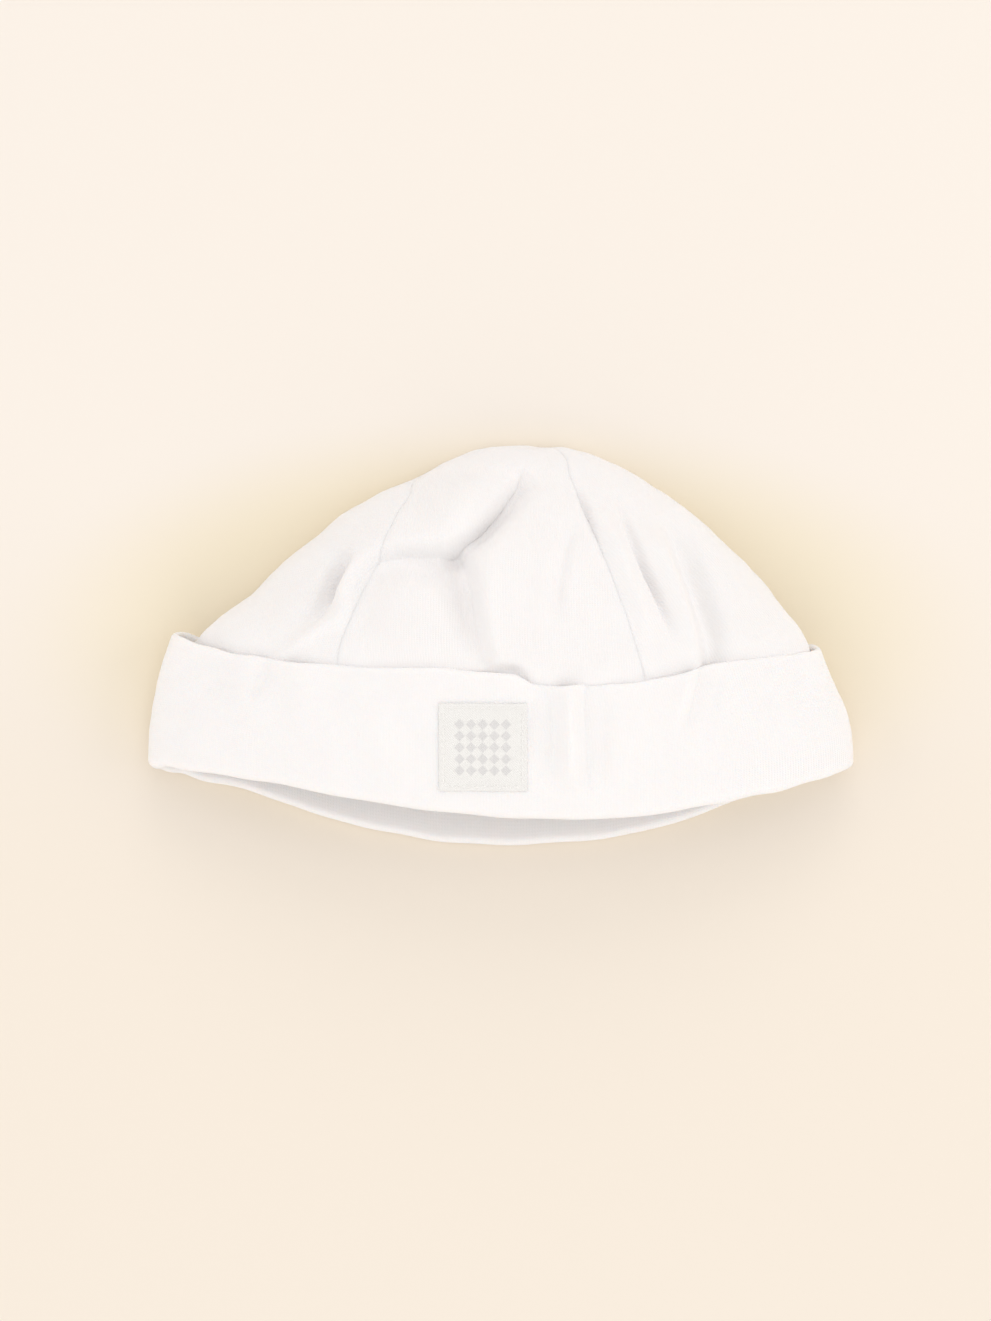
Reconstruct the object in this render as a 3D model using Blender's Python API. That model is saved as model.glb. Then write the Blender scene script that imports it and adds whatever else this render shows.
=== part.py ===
"""A baby's soft knitted cap with a turned-up cuff, lying on its back.

Frame: +X runs across the cap, +Y from the head opening towards the top of the crown, and +Z up from
the surface that it lies on. The origin is on that surface, under the middle of the cap's box.

The cloth is one smooth lying shape, worked out from a table of sections. Four crown panels and the
folded cuff are walls that follow it, and the square patch lies on the front of the cuff.
"""

import bmesh
import bpy
import numpy as np

# Driving dimensions, in metres
CAP_WIDTH = 0.1690
CAP_LENGTH = 0.0962
CROWN_RISE = 0.0290
SIDE_FOLD_HEIGHT = 0.0052
CUFF_HEIGHT = 0.0345
CROWN_WALL = 0.0016
CUFF_WALL = 0.0017
CUFF_FLARE = 0.0040
CREASE_DEPTH = 0.0040
CREASE_WIDTH = 0.0045
CUFF_CREASE_DEPTH = 0.0010
PATCH_SIZE = 0.0202
PATCH_THICKNESS = 0.0010
PATCH_LEFT_OF_MIDDLE = 0.0042
JOIN_BELOW_EDGE = 0.0080

# Clearances between neighbouring pieces, in metres
SEAM_GAP = 0.0003
CUFF_SLOT = 0.0006
PATCH_GAP = 0.0003

# How finely each piece is divided
FRONT_STEPS = 24
LEFT_STEPS = 14
RIGHT_STEPS = 16
BACK_STEPS = 6
CROWN_ROWS = 26
CUFF_STEPS = 64
PATCH_STEPS = 8
LEG_ROWS = 5
LIP_ROWS = 4
CREASE_PIECES = 12
TABLE_SAMPLES = 2001

# Shares that shape the lying sections
TOP_FULLNESS = 1.15
FLAT_FROM = 0.60
APEX_RING = 0.992
LOOK_STEP = 1e-4
FLARE_POWER = 1.6
FLARE_GONE = 0.35
EDGE_ROUND = 0.35
CREASE_TAPER = 0.7
SHARP_ANGLE = np.radians(50)
FRONT_STARTS = 0.05
FRONT_FULL = 0.45
LEG_CREASE_STARTS = 0.30

# Sections of the lying cloth from below the lip (first row) to the apex (last row). y is a share of
# half the length, left and right are shares of the cloth's half width, top is a share of the crown's
# rise, side is a share of the side fold's height, lift is a share of the turned-up leg's depth, and
# open tells how far front and back stand apart, down to 0 where they meet.
SECTION_COLUMNS = ("y", "left", "right", "top", "side", "lift", "open")
SECTIONS = (
    (-1.080, -1.000, 1.000, 0.86, 1.00, 1.00, 1.00),
    (-0.850, -1.000, 1.000, 0.90, 1.00, 1.00, 1.00),
    (-0.620, -1.000, 1.000, 0.94, 1.00, 1.00, 1.00),
    (-0.400, -0.988, 0.982, 0.97, 1.00, 1.00, 1.00),
    (-0.200, -0.944, 0.932, 0.99, 1.00, 1.00, 1.00),
    (0.000, -0.880, 0.878, 1.00, 1.00, 1.00, 1.00),
    (0.170, -0.785, 0.824, 0.99, 1.00, 0.45, 1.00),
    (0.340, -0.680, 0.752, 0.93, 0.97, 0.00, 1.00),
    (0.500, -0.576, 0.662, 0.84, 0.94, 0.00, 1.00),
    (0.650, -0.458, 0.565, 0.71, 0.90, 0.00, 1.00),
    (0.780, -0.336, 0.460, 0.57, 0.88, 0.00, 1.00),
    (0.880, -0.212, 0.368, 0.44, 0.86, 0.00, 1.00),
    (0.950, -0.116, 0.262, 0.36, 0.86, 0.00, 0.92),
    (0.988, -0.045, 0.170, 0.33, 0.86, 0.00, 0.60),
    (1.000, 0.060, 0.060, 0.32, 0.86, 0.00, 0.00),
)

# Where the four crown seams run, as shares of half a turn counted from the right side fold over the
# front. along is the place between the first section, 0, and the apex, 1.
SEAM_COLUMNS = ("along", "right_front", "left_front", "left_back", "right_back")
SEAMS = (
    (0.000, 0.350, 0.667, 1.32, 1.68),
    (0.360, 0.356, 0.674, 1.32, 1.68),
    (0.500, 0.370, 0.702, 1.32, 1.68),
    (0.640, 0.372, 0.740, 1.32, 1.68),
    (0.710, 0.370, 0.800, 1.32, 1.68),
    (0.785, 0.366, 0.985, 1.34, 1.68),
    (0.857, 0.300, 1.050, 1.36, 1.70),
    (0.930, 0.190, 1.060, 1.38, 1.73),
    (1.000, 0.100, 1.060, 1.40, 1.75),
)

# The cuff around its loop, from the right side fold (0) over the front (0.25) to the left side fold
# (0.5) and along the back. lip is a share of half the length, height a share of the cuff's height,
# and flare how far the free edge stands off, as a share of the cuff's flare.
CUFF_COLUMNS = ("turn", "lip", "height", "flare")
CUFF_LINE = (
    (0.0000, -0.615, 0.83, 0.45),
    (0.0625, -0.660, 0.88, 0.40),
    (0.1250, -0.750, 0.93, 0.35),
    (0.1875, -0.840, 0.91, 0.40),
    (0.2500, -0.846, 1.00, 0.50),
    (0.3125, -0.765, 0.95, 0.35),
    (0.3750, -0.665, 0.86, 0.35),
    (0.4375, -0.615, 0.85, 0.70),
    (0.5000, -0.610, 0.86, 1.00),
    (0.5625, -0.650, 0.92, 0.30),
    (0.6250, -0.745, 1.02, 0.00),
    (0.6875, -0.920, 1.22, 0.00),
    (0.7500, -1.000, 1.32, 0.00),
    (0.8125, -0.945, 1.24, 0.00),
    (0.8750, -0.770, 1.05, 0.00),
    (0.9375, -0.665, 0.92, 0.20),
    (1.0000, -0.615, 0.83, 0.45),
)

# Creases and ridges of the front of the crown, seen from above. Each runs through three points: x is
# a share of half the cap's width and y a share of half its length. depth is a share of the crease
# depth (a ridge has a minus sign) and width a share of the crease width.
CREASE_COLUMNS = ("name", "x_1", "y_1", "x_2", "y_2", "x_3", "y_3", "depth", "width")
CROWN_CREASES = (
    ("big diagonal crease", 0.06, 0.86, -0.04, 0.66, -0.15, 0.47, 1.35, 0.75),
    ("middle valley", -0.13, 0.52, -0.08, 0.28, -0.05, -0.06, 0.65, 1.30),
    ("shelf upper edge", -0.12, 0.48, -0.28, 0.50, -0.40, 0.36, 0.50, 0.80),
    ("shelf side", -0.39, 0.40, -0.41, 0.20, -0.41, -0.02, 0.30, 0.80),
    ("shelf hollow", -0.27, 0.44, -0.25, 0.20, -0.24, -0.04, 0.45, 2.60),
    ("left deep crease", -0.435, 0.47, -0.475, 0.31, -0.50, 0.14, 1.00, 0.60),
    ("left edge seam", -0.21, 0.90, -0.27, 0.73, -0.33, 0.50, 0.15, 0.50),
    ("right seam crease", 0.18, 0.96, 0.275, 0.52, 0.385, -0.12, 0.30, 0.55),
    ("right seam pinch", 0.21, 0.80, 0.245, 0.66, 0.28, 0.50, 0.45, 0.50),
    ("right deep crease", 0.32, 0.78, 0.39, 0.37, 0.465, 0.06, 0.95, 0.60),
    ("right side crease", 0.49, 0.58, 0.57, 0.17, 0.575, -0.14, 0.60, 0.70),
    ("faint crease", 0.21, 0.68, 0.17, 0.42, 0.163, 0.08, 0.20, 0.70),
    ("ridge over the shelf", -0.02, 0.84, -0.16, 0.66, -0.34, 0.57, -0.50, 1.20),
    ("ridge beside the diagonal", 0.11, 0.80, -0.02, 0.58, -0.03, 0.26, -0.35, 1.00),
    ("left ridge", -0.42, 0.42, -0.445, 0.15, -0.60, 0.00, -0.40, 0.65),
    ("ridge between the right creases", 0.29, 0.66, 0.35, 0.32, 0.42, 0.02, -0.35, 0.65),
    ("ridge beside the right crease", 0.42, 0.60, 0.50, 0.26, 0.515, 0.00, -0.45, 0.80),
)

# Creases and ridges of the front of the cuff, with the same columns and its own depth.
CUFF_CREASES = (
    ("upright ridge", 0.21, -0.16, 0.21, -0.42, 0.22, -0.72, -0.90, 0.55),
    ("upright valley", 0.262, -0.17, 0.262, -0.42, 0.265, -0.74, 0.80, 0.50),
    ("right crease going on", 0.575, -0.10, 0.55, -0.28, 0.51, -0.46, 0.80, 0.55),
    ("left dimple", -0.63, -0.02, -0.65, -0.14, -0.67, -0.24, 0.70, 0.55),
    ("valley by the patch", 0.075, -0.28, 0.085, -0.38, 0.09, -0.48, 0.35, 0.60),
    ("right side hollow", 0.72, -0.08, 0.73, -0.28, 0.74, -0.50, 0.60, 0.90),
)

# Lengths that follow from the sizes above
TURNED_DEPTH = CUFF_SLOT + CUFF_WALL
LIP_RADIUS = (TURNED_DEPTH + CUFF_WALL) / 2
HALF_WIDTH = CAP_WIDTH / 2
HALF_LENGTH = CAP_LENGTH / 2
CLOTH_HALF_WIDTH = HALF_WIDTH - TURNED_DEPTH


def column(table, columns, name):
    """One named column of a table as an array."""
    return np.array([row[columns.index(name)] for row in table], float)


def smooth(at, knots, values, level_end=False):
    """Values at `at` on a smooth curve through the knots: cubic pieces with shared slopes.

    A stretch between two equal values stays level, and with level_end so does the last knot.
    """
    slopes = np.gradient(values, knots)
    level = np.diff(values) == 0
    slopes[:-1][level] = 0
    slopes[1:][level] = 0
    slopes[-1] *= not level_end
    piece = np.clip(np.searchsorted(knots, at, side="right") - 1, 0, len(knots) - 2)
    width = knots[piece + 1] - knots[piece]
    share = (at - knots[piece]) / width
    rest = 1 - share
    return (
        values[piece] * rest * rest * (1 + 2 * share)
        + values[piece + 1] * share * share * (1 + 2 * rest)
        + slopes[piece] * width * share * rest * rest
        - slopes[piece + 1] * width * share * share * rest
    )


def ease(value, start, end):
    """0 up to start, 1 from end on, and a smooth rise between them."""
    share = np.clip((value - start) / (end - start), 0, 1)
    return share * share * (3 - 2 * share)


def section(name, along):
    """A column of the section table, read between its rows."""
    knots = np.linspace(0, 1, len(SECTIONS))
    return smooth(along, knots, column(SECTIONS, SECTION_COLUMNS, name), name == "y")


def seam(name, along):
    """The angle of one crown seam, in radians, at each place along the cap."""
    knots = column(SEAMS, SEAM_COLUMNS, "along")
    return np.pi * smooth(along, knots, column(SEAMS, SEAM_COLUMNS, name))


def cuff_line(name, angle):
    """A column of the cuff table at each angle around the loop."""
    turn = np.mod(angle / (2 * np.pi), 1.0)
    rows = column(CUFF_LINE, CUFF_COLUMNS, "turn")
    values = column(CUFF_LINE, CUFF_COLUMNS, name)
    knots = np.concatenate([rows[-2:-1] - 1, rows, rows[1:2] + 1])
    return smooth(turn, knots, np.concatenate([values[-2:-1], values, values[1:2]]))


ALONG_SAMPLES = np.linspace(0, 1, TABLE_SAMPLES)
Y_SAMPLES = section("y", ALONG_SAMPLES) * HALF_LENGTH


def along_at(y):
    """The place along the cap whose section lies at y."""
    return np.interp(y, Y_SAMPLES, ALONG_SAMPLES)


def lying_cloth(angle, along, inset=0.0):
    """The smooth lying shape, without creases: a domed front, rounded side folds and a flat back.

    x = middle + half width * cos(angle). On the front z rises from the side fold as a power of
    sin(angle). On the back it falls from there to the flat, which it reaches at FLAT_FROM. With an
    inset it is the same shape made that much smaller, for the wall's inner face.
    """
    left = section("left", along) * (CLOTH_HALF_WIDTH - inset)
    right = section("right", along) * (CLOTH_HALF_WIDTH - inset)
    under = section("side", along) * SIDE_FOLD_HEIGHT
    middle = under + section("lift", along) * TURNED_DEPTH
    over = (section("top", along) * CROWN_RISE - middle - inset) * section("open", along)
    under = (under - inset) * section("open", along)
    x = (left + right) / 2 + (right - left) / 2 * np.cos(angle)
    y = section("y", along)
    y = y * HALF_LENGTH - inset * np.clip(y, 0, 1) + 0 * angle
    rise = np.clip(np.sin(angle), 0, 1) ** TOP_FULLNESS
    fall = np.clip(-np.sin(angle) / FLAT_FROM, 0, 1)
    z = middle + np.where(np.sin(angle) >= 0, over * rise, under * ((1 - fall) ** 2 - 1))
    return np.stack([x, y, z], axis=-1)


def outward(face, angle, along):
    """The face's outward direction, from small steps in both parameters."""
    across = face(angle + LOOK_STEP, along) - face(angle - LOOK_STEP, along)
    lengthwise = face(angle, along + LOOK_STEP) - face(angle, along - LOOK_STEP)
    normal = np.cross(lengthwise, across)
    return normal / np.linalg.norm(normal, axis=-1, keepdims=True)


def crease_depth(points, creases):
    """How far the creases sink each point, from its distance to each crease in plan.

    A crease is a curve through three points. Its depth falls off with distance as a bell curve, and
    from its middle to nothing at its two ends.
    """
    plan = points[..., :2]
    sunk = np.zeros(plan.shape[:-1])
    share = np.linspace(0, 1, CREASE_PIECES + 1)[:, None]
    for row in creases:
        crease = dict(zip(CREASE_COLUMNS, row))
        ends = [(crease[f"x_{place}"], crease[f"y_{place}"]) for place in (1, 2, 3)]
        ends = np.array(ends) * (HALF_WIDTH, HALF_LENGTH)
        pull = 2 * ends[1] - (ends[0] + ends[2]) / 2
        path = (
            ends[0] * (1 - share) ** 2
            + pull * 2 * share * (1 - share)
            + ends[2] * share**2
        )
        start = path[:-1]
        step = path[1:] - start
        offset = plan[..., None, :] - start
        place = np.sum(offset * step, axis=-1) / np.sum(step * step, axis=-1)
        place = np.clip(place, 0, 1)
        distance = np.linalg.norm(offset - place[..., None] * step, axis=-1)
        nearest = np.argmin(distance, axis=-1)[..., None]
        gap = np.take_along_axis(distance, nearest, axis=-1)[..., 0]
        done = np.take_along_axis(place, nearest, axis=-1)[..., 0]
        reach = (nearest[..., 0] + done) / CREASE_PIECES
        taper = np.sin(np.pi * np.clip(reach, 0, 1)) ** CREASE_TAPER
        bell = np.exp(-((gap / (crease["width"] * CREASE_WIDTH)) ** 2))
        sunk += crease["depth"] * taper * bell
    return sunk


def crown_face(angle, along, inset=0.0):
    """The crown's face: the lying cloth with the creases pressed into its front.

    With an inset it is the wall's inner face, which the same creases press in by as much.
    """
    points = lying_cloth(angle, along)
    normal = outward(lying_cloth, angle, along)
    depth = CREASE_DEPTH * crease_depth(points, CROWN_CREASES)
    front = ease(normal[..., 2], FRONT_STARTS, FRONT_FULL)
    edge = edge_y(angle)
    above_cuff = ease(points[..., 1], edge - JOIN_BELOW_EDGE / 2, edge + JOIN_BELOW_EDGE / 2)
    sunk = (depth * front * above_cuff)[..., None]
    return lying_cloth(angle, along, inset) - normal * sunk


def lip_y(angle):
    """The y of the cuff's folded lip."""
    return cuff_line("lip", angle) * HALF_LENGTH


def edge_y(angle):
    """The y of the cuff's free edge."""
    return lip_y(angle) + cuff_line("height", angle) * CUFF_HEIGHT


def join_y(angle):
    """The y of the hidden join between the crown and the cuff's inner leg."""
    return edge_y(angle) - JOIN_BELOW_EDGE


def cloth_at(angle, y, depth_out):
    """Points that stand `depth_out` off the smooth lying cloth, at an angle and a y."""
    along = along_at(y)
    return lying_cloth(angle, along) + outward(lying_cloth, angle, along) * depth_out[..., None]


def stand_off(angle, y):
    """How far the cuff's outer leg stands off the cloth: its own depth, the flare and its creases.

    The flare fades where the cuff turns under, so that the back lies flat.
    """
    share = np.clip((y - lip_y(angle)) / (edge_y(angle) - lip_y(angle)), 0, 1)
    flare = CUFF_FLARE * cuff_line("flare", angle) * share**FLARE_POWER
    flare = flare * (1 - ease(-np.sin(angle), 0, FLARE_GONE))
    points = lying_cloth(angle, along_at(y))
    sunk = CUFF_CREASE_DEPTH * crease_depth(points, CUFF_CREASES)
    sunk = sunk * (np.sin(angle) > 0) * ease(share, 0, LEG_CREASE_STARTS)
    return np.maximum(TURNED_DEPTH + flare - sunk, CUFF_WALL + SEAM_GAP)


def closed_body(name, points, faces, material):
    """A mesh object from points and faces, with its faces turned outwards and shaded smooth."""
    mesh = bpy.data.meshes.new(name)
    mesh.from_pydata(points.reshape(-1, 3).tolist(), [], faces)
    work = bmesh.new()
    work.from_mesh(mesh)
    bmesh.ops.recalc_face_normals(work, faces=work.faces)
    bmesh.ops.triangulate(work, faces=work.faces)
    work.to_mesh(mesh)
    work.free()
    mesh.shade_smooth()
    mesh.set_sharp_from_angle(angle=SHARP_ANGLE)
    mesh.materials.append(material)
    obj = bpy.data.objects.new(name, mesh)
    bpy.context.scene.collection.objects.link(obj)
    return obj


def wall_body(name, outer, inner, material):
    """A closed wall between an outer and an inner grid of points of the same size."""
    rows, columns = outer.shape[:2]
    index = np.arange(rows * columns).reshape(rows, columns)
    under = index + rows * columns
    faces = []
    for row in range(rows - 1):
        for step in range(columns - 1):
            corners = (row, step), (row, step + 1), (row + 1, step + 1), (row + 1, step)
            faces.append([int(index[corner]) for corner in corners])
            faces.append([int(under[corner]) for corner in reversed(corners)])
    rim = (
        [(row, 0) for row in range(rows)]
        + [(rows - 1, step) for step in range(1, columns)]
        + [(row, columns - 1) for row in range(rows - 2, -1, -1)]
        + [(0, step) for step in range(columns - 2, 0, -1)]
    )
    for here, there in zip(rim, rim[1:] + rim[:1]):
        faces.append([int(index[here]), int(index[there]), int(under[there]), int(under[here])])
    return closed_body(name, np.stack([outer, inner]), faces, material)


def ring_body(name, rings, material):
    """A closed tube from a grid of points that joins up in both directions."""
    count, around = rings.shape[:2]
    faces = []
    for step in range(count):
        for place in range(around):
            after, beside = (step + 1) % count, (place + 1) % around
            corners = (step, place), (step, beside), (after, beside), (after, place)
            faces.append([a * around + b for a, b in corners])
    return closed_body(name, rings, faces, material)


def cloth_material(name, colour, roughness):
    """A plain woven or knitted finish."""
    material = bpy.data.materials.new(name)
    material.use_nodes = True
    shader = material.node_tree.nodes["Principled BSDF"]
    shader.inputs["Base Color"].default_value = (*colour, 1.0)
    shader.inputs["Roughness"].default_value = roughness
    shader.inputs["Metallic"].default_value = 0.0
    return material


def crown_panel(name, first, last, steps, material):
    """A crown panel between two seams, from the hidden join up to the apex.

    At each place along the cap the panel keeps half the seam gap from both seams.
    """
    share = np.linspace(0, 1, steps + 1)[None, :]
    climb = np.linspace(0, 1, CROWN_ROWS + 1)[:, None]
    middle = (seam(first, np.array(0.0)) + seam(last, np.array(0.0)) + turn_after(last, first)) / 2
    along = along_at(join_y(middle)) + (APEX_RING - along_at(join_y(middle))) * climb
    for _ in range(3):
        begin = seam(first, along)
        end = seam(last, along) + turn_after(last, first)
        angle = begin + (end - begin) * share
        bottom = along_at(join_y(angle))
        along = bottom + (APEX_RING - bottom) * climb
    across = crown_face(angle + LOOK_STEP, along) - crown_face(angle - LOOK_STEP, along)
    per_radian = np.linalg.norm(across, axis=-1) / (2 * LOOK_STEP)
    margin = SEAM_GAP / 2 / per_radian
    begin = seam(first, along) + margin[:, :1]
    end = seam(last, along) + turn_after(last, first) - margin[:, -1:]
    angle = begin + (end - begin) * share
    outer = crown_face(angle, along)
    inner = crown_face(angle, along, CROWN_WALL)
    return wall_body(name, outer, inner, material)


def turn_after(last, first):
    """A whole turn where the panel's last seam comes before its first one in the table."""
    names = SEAM_COLUMNS[1:]
    return 2 * np.pi if names.index(last) < names.index(first) else 0.0


def cuff(material):
    """The turned-up cuff: inner leg, rounded lip and outer leg, one wall folded back on itself.

    A profile of (y, stand-off) points goes round the folded wall, and the loop carries it round the
    cap. Both legs follow the lying cloth, so the slot between them stays open up to the free edge.
    """
    angle = np.linspace(0, 2 * np.pi, CUFF_STEPS, endpoint=False)
    lip, edge, join = lip_y(angle), edge_y(angle), join_y(angle) - SEAM_GAP
    down = np.linspace(1, 0, LEG_ROWS + 1)
    bend = np.linspace(0, np.pi, LIP_ROWS + 2)[1:-1]
    middle = (TURNED_DEPTH - CUFF_WALL) / 2
    shoulder = lip + LIP_RADIUS
    slot = lip + CUFF_WALL
    top = edge - CUFF_WALL * EDGE_ROUND
    profile = []
    for share in down:
        y = shoulder + (top - shoulder) * share
        profile.append((y, stand_off(angle, y)))
    for turn in bend:
        y = shoulder - LIP_RADIUS * np.sin(turn)
        profile.append((y, middle + LIP_RADIUS * np.cos(turn) + 0 * y))
    for share in down[::-1]:
        y = shoulder + (join - shoulder) * share
        profile.append((y, -CUFF_WALL + 0 * y))
    for share in down:
        y = slot + (join - slot) * share
        profile.append((y, 0 * y))
    for share in down[::-1]:
        y = slot + (top - slot) * share
        profile.append((y, stand_off(angle, y) - CUFF_WALL))
    profile.append((edge, stand_off(angle, edge) - CUFF_WALL / 2))
    rings = np.stack([cloth_at(angle, y, out) for y, out in profile], axis=1)
    return ring_body("cuff", rings, material)


def label_patch(material):
    """The square patch, half way up the front of the cuff, at its own small gap from it."""
    across = PATCH_SIZE * np.linspace(-0.5, 0.5, PATCH_STEPS + 1)
    front = np.array(np.pi / 2)
    half_way = (lip_y(front) + edge_y(front)) / 2
    x, y = np.meshgrid(across - PATCH_LEFT_OF_MIDDLE, half_way + across)
    along = along_at(y)
    left = section("left", along) * CLOTH_HALF_WIDTH
    right = section("right", along) * CLOTH_HALF_WIDTH
    angle = np.arccos((x - (left + right) / 2) / ((right - left) / 2))
    seat = stand_off(angle, y) + PATCH_GAP
    outer = cloth_at(angle, y, seat + PATCH_THICKNESS)
    inner = cloth_at(angle, y, seat)
    return wall_body("label_patch", outer, inner, material)


def centre_on_box(pieces):
    """Moves the meshes together, so that the box's middle is over the origin and its floor at 0."""
    points = np.concatenate([[vertex.co[:] for vertex in piece.data.vertices] for piece in pieces])
    low, high = points.min(axis=0), points.max(axis=0)
    shift = -np.array([(low[0] + high[0]) / 2, (low[1] + high[1]) / 2, low[2]])
    for piece in pieces:
        for vertex in piece.data.vertices:
            vertex.co = [a + b for a, b in zip(vertex.co, shift)]


def main():
    for obj in list(bpy.data.objects):
        bpy.data.objects.remove(obj)
    crown_knit = cloth_material("crown_knit", (0.93, 0.91, 0.89), 0.9)
    cuff_knit = cloth_material("cuff_knit", (0.95, 0.93, 0.91), 0.9)
    patch_weave = cloth_material("patch_weave", (0.84, 0.83, 0.82), 0.7)
    pieces = [
        crown_panel("crown_front_panel", "right_front", "left_front", FRONT_STEPS, crown_knit),
        crown_panel("crown_left_panel", "left_front", "left_back", LEFT_STEPS, crown_knit),
        crown_panel("crown_back_panel", "left_back", "right_back", BACK_STEPS, crown_knit),
        crown_panel("crown_right_panel", "right_back", "right_front", RIGHT_STEPS, crown_knit),
        cuff(cuff_knit),
        label_patch(patch_weave),
    ]
    centre_on_box(pieces)


main()
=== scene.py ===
# %% [markdown]
# A newborn's knitted cap with a turned-up cuff
#
# The real cap is soft cotton jersey: four crown panels sewn together, and a cuff that is folded up
# once and carries a small square patch. It lies on its back on a pale table, and the camera looks
# straight down on it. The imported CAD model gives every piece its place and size. This lesson dresses
# it: the same lying shape is worked out again on a much finer grid, and the folds, seams, knit and
# light are added step by step.

import math

import bmesh
import bpy
import numpy as np
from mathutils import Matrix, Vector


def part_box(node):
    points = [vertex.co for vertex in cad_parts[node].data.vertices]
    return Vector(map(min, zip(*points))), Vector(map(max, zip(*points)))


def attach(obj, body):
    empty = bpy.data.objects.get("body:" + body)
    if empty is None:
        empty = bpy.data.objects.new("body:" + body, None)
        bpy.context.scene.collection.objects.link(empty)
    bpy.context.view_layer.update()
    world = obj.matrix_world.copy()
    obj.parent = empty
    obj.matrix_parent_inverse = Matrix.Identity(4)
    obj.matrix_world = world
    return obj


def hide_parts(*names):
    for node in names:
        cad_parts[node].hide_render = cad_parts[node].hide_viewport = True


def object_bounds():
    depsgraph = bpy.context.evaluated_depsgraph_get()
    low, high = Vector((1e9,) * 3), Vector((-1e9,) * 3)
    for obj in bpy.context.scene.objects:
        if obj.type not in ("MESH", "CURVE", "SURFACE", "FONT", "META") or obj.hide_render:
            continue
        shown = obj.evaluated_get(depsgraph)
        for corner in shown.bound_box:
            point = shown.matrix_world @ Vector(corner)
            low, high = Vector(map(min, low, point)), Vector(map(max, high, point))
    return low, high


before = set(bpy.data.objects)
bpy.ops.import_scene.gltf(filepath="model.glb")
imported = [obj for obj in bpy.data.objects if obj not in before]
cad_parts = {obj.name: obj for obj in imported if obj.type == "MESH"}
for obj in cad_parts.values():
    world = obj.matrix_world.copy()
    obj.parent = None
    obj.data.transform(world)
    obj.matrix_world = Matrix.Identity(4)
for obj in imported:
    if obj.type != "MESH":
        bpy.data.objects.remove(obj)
cad_low, cad_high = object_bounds()
print("CAD box from", tuple(cad_low), "to", tuple(cad_high))

# %% [markdown]
# Sizes
#
# Everything is in metres. The frame gives the overall sizes, so the dressed cap follows it. What the
# frame can't give, such as how deep a fold is, has a name here.

# %% Sizes from the frame and sizes of the cloth
MM = 0.001
HALF_WIDTH = (cad_high.x - cad_low.x) / 2
HALF_LENGTH = (cad_high.y - cad_low.y) / 2
CROWN_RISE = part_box("crown_front_panel")[1].z
PATCH_LOW, PATCH_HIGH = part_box("label_patch")
SIDE_FOLD_HEIGHT = 5.2 * MM
CUFF_HEIGHT = 34.5 * MM
CROWN_WALL = 1.6 * MM
CUFF_WALL = 1.7 * MM
CUFF_SLOT = 0.6 * MM
CUFF_FLARE = 4.0 * MM
JOIN_BELOW_EDGE = 8.0 * MM
JOIN_GAP = 0.3 * MM
TURNED_DEPTH = CUFF_SLOT + CUFF_WALL
LIP_RADIUS = (TURNED_DEPTH + CUFF_WALL) / 2
CLOTH_HALF_WIDTH = HALF_WIDTH - TURNED_DEPTH
print("half width", HALF_WIDTH, "half length", HALF_LENGTH, "crown rise", CROWN_RISE)

# %% [markdown]
# The lying cloth
#
# A cap that lies flat is a tube of cloth pressed together: a domed front, a round fold at each side
# and a flat back. It could be sculpted, or simulated by dropping a cap on a table, but then nothing
# would stay where the frame says. Here it is a function of two parameters: the angle round the tube
# and the place along it. A short table of sections gives the outline and the height.

# %% Table of sections from below the lip to the apex
SECTION_COLUMNS = ("y", "left", "right", "top", "side", "lift", "open")
SECTIONS = (
    (-1.080, -1.000, 1.000, 0.86, 1.00, 1.00, 1.00),
    (-0.850, -1.000, 1.000, 0.90, 1.00, 1.00, 1.00),
    (-0.620, -1.000, 1.000, 0.94, 1.00, 1.00, 1.00),
    (-0.400, -0.988, 0.982, 0.97, 1.00, 1.00, 1.00),
    (-0.200, -0.944, 0.932, 0.99, 1.00, 1.00, 1.00),
    (0.000, -0.880, 0.878, 1.00, 1.00, 1.00, 1.00),
    (0.170, -0.785, 0.824, 0.99, 1.00, 0.45, 1.00),
    (0.340, -0.680, 0.752, 0.93, 0.97, 0.00, 1.00),
    (0.500, -0.576, 0.662, 0.84, 0.94, 0.00, 1.00),
    (0.650, -0.458, 0.565, 0.71, 0.90, 0.00, 1.00),
    (0.780, -0.336, 0.460, 0.57, 0.88, 0.00, 1.00),
    (0.880, -0.212, 0.368, 0.44, 0.86, 0.00, 1.00),
    (0.950, -0.116, 0.262, 0.36, 0.86, 0.00, 0.92),
    (0.988, -0.045, 0.170, 0.33, 0.86, 0.00, 0.60),
    (1.000, 0.060, 0.060, 0.32, 0.86, 0.00, 0.00),
)
TOP_FULLNESS = 1.15
FLAT_FROM = 0.60
LOOK_STEP = 1e-4
POLE_LOOK = 0.992


def column(table, columns, name):
    """One named column of a table as an array."""
    return np.array([row[columns.index(name)] for row in table], float)


def smooth(at, knots, values, level_end=False):
    """A smooth curve through the knots: cubic pieces with shared slopes, level between equal values."""
    slopes = np.gradient(values, knots)
    level = np.diff(values) == 0
    slopes[:-1][level] = 0
    slopes[1:][level] = 0
    slopes[-1] *= not level_end
    piece = np.clip(np.searchsorted(knots, at, side="right") - 1, 0, len(knots) - 2)
    width = knots[piece + 1] - knots[piece]
    share = (at - knots[piece]) / width
    rest = 1 - share
    return (
        values[piece] * rest * rest * (1 + 2 * share)
        + values[piece + 1] * share * share * (1 + 2 * rest)
        + slopes[piece] * width * share * rest * rest
        - slopes[piece + 1] * width * share * share * rest
    )


def ease(value, start, end):
    """0 up to start, 1 from end on, and 3 s squared minus 2 s cubed between them."""
    share = np.clip((value - start) / (end - start), 0, 1)
    return share * share * (3 - 2 * share)


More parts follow.
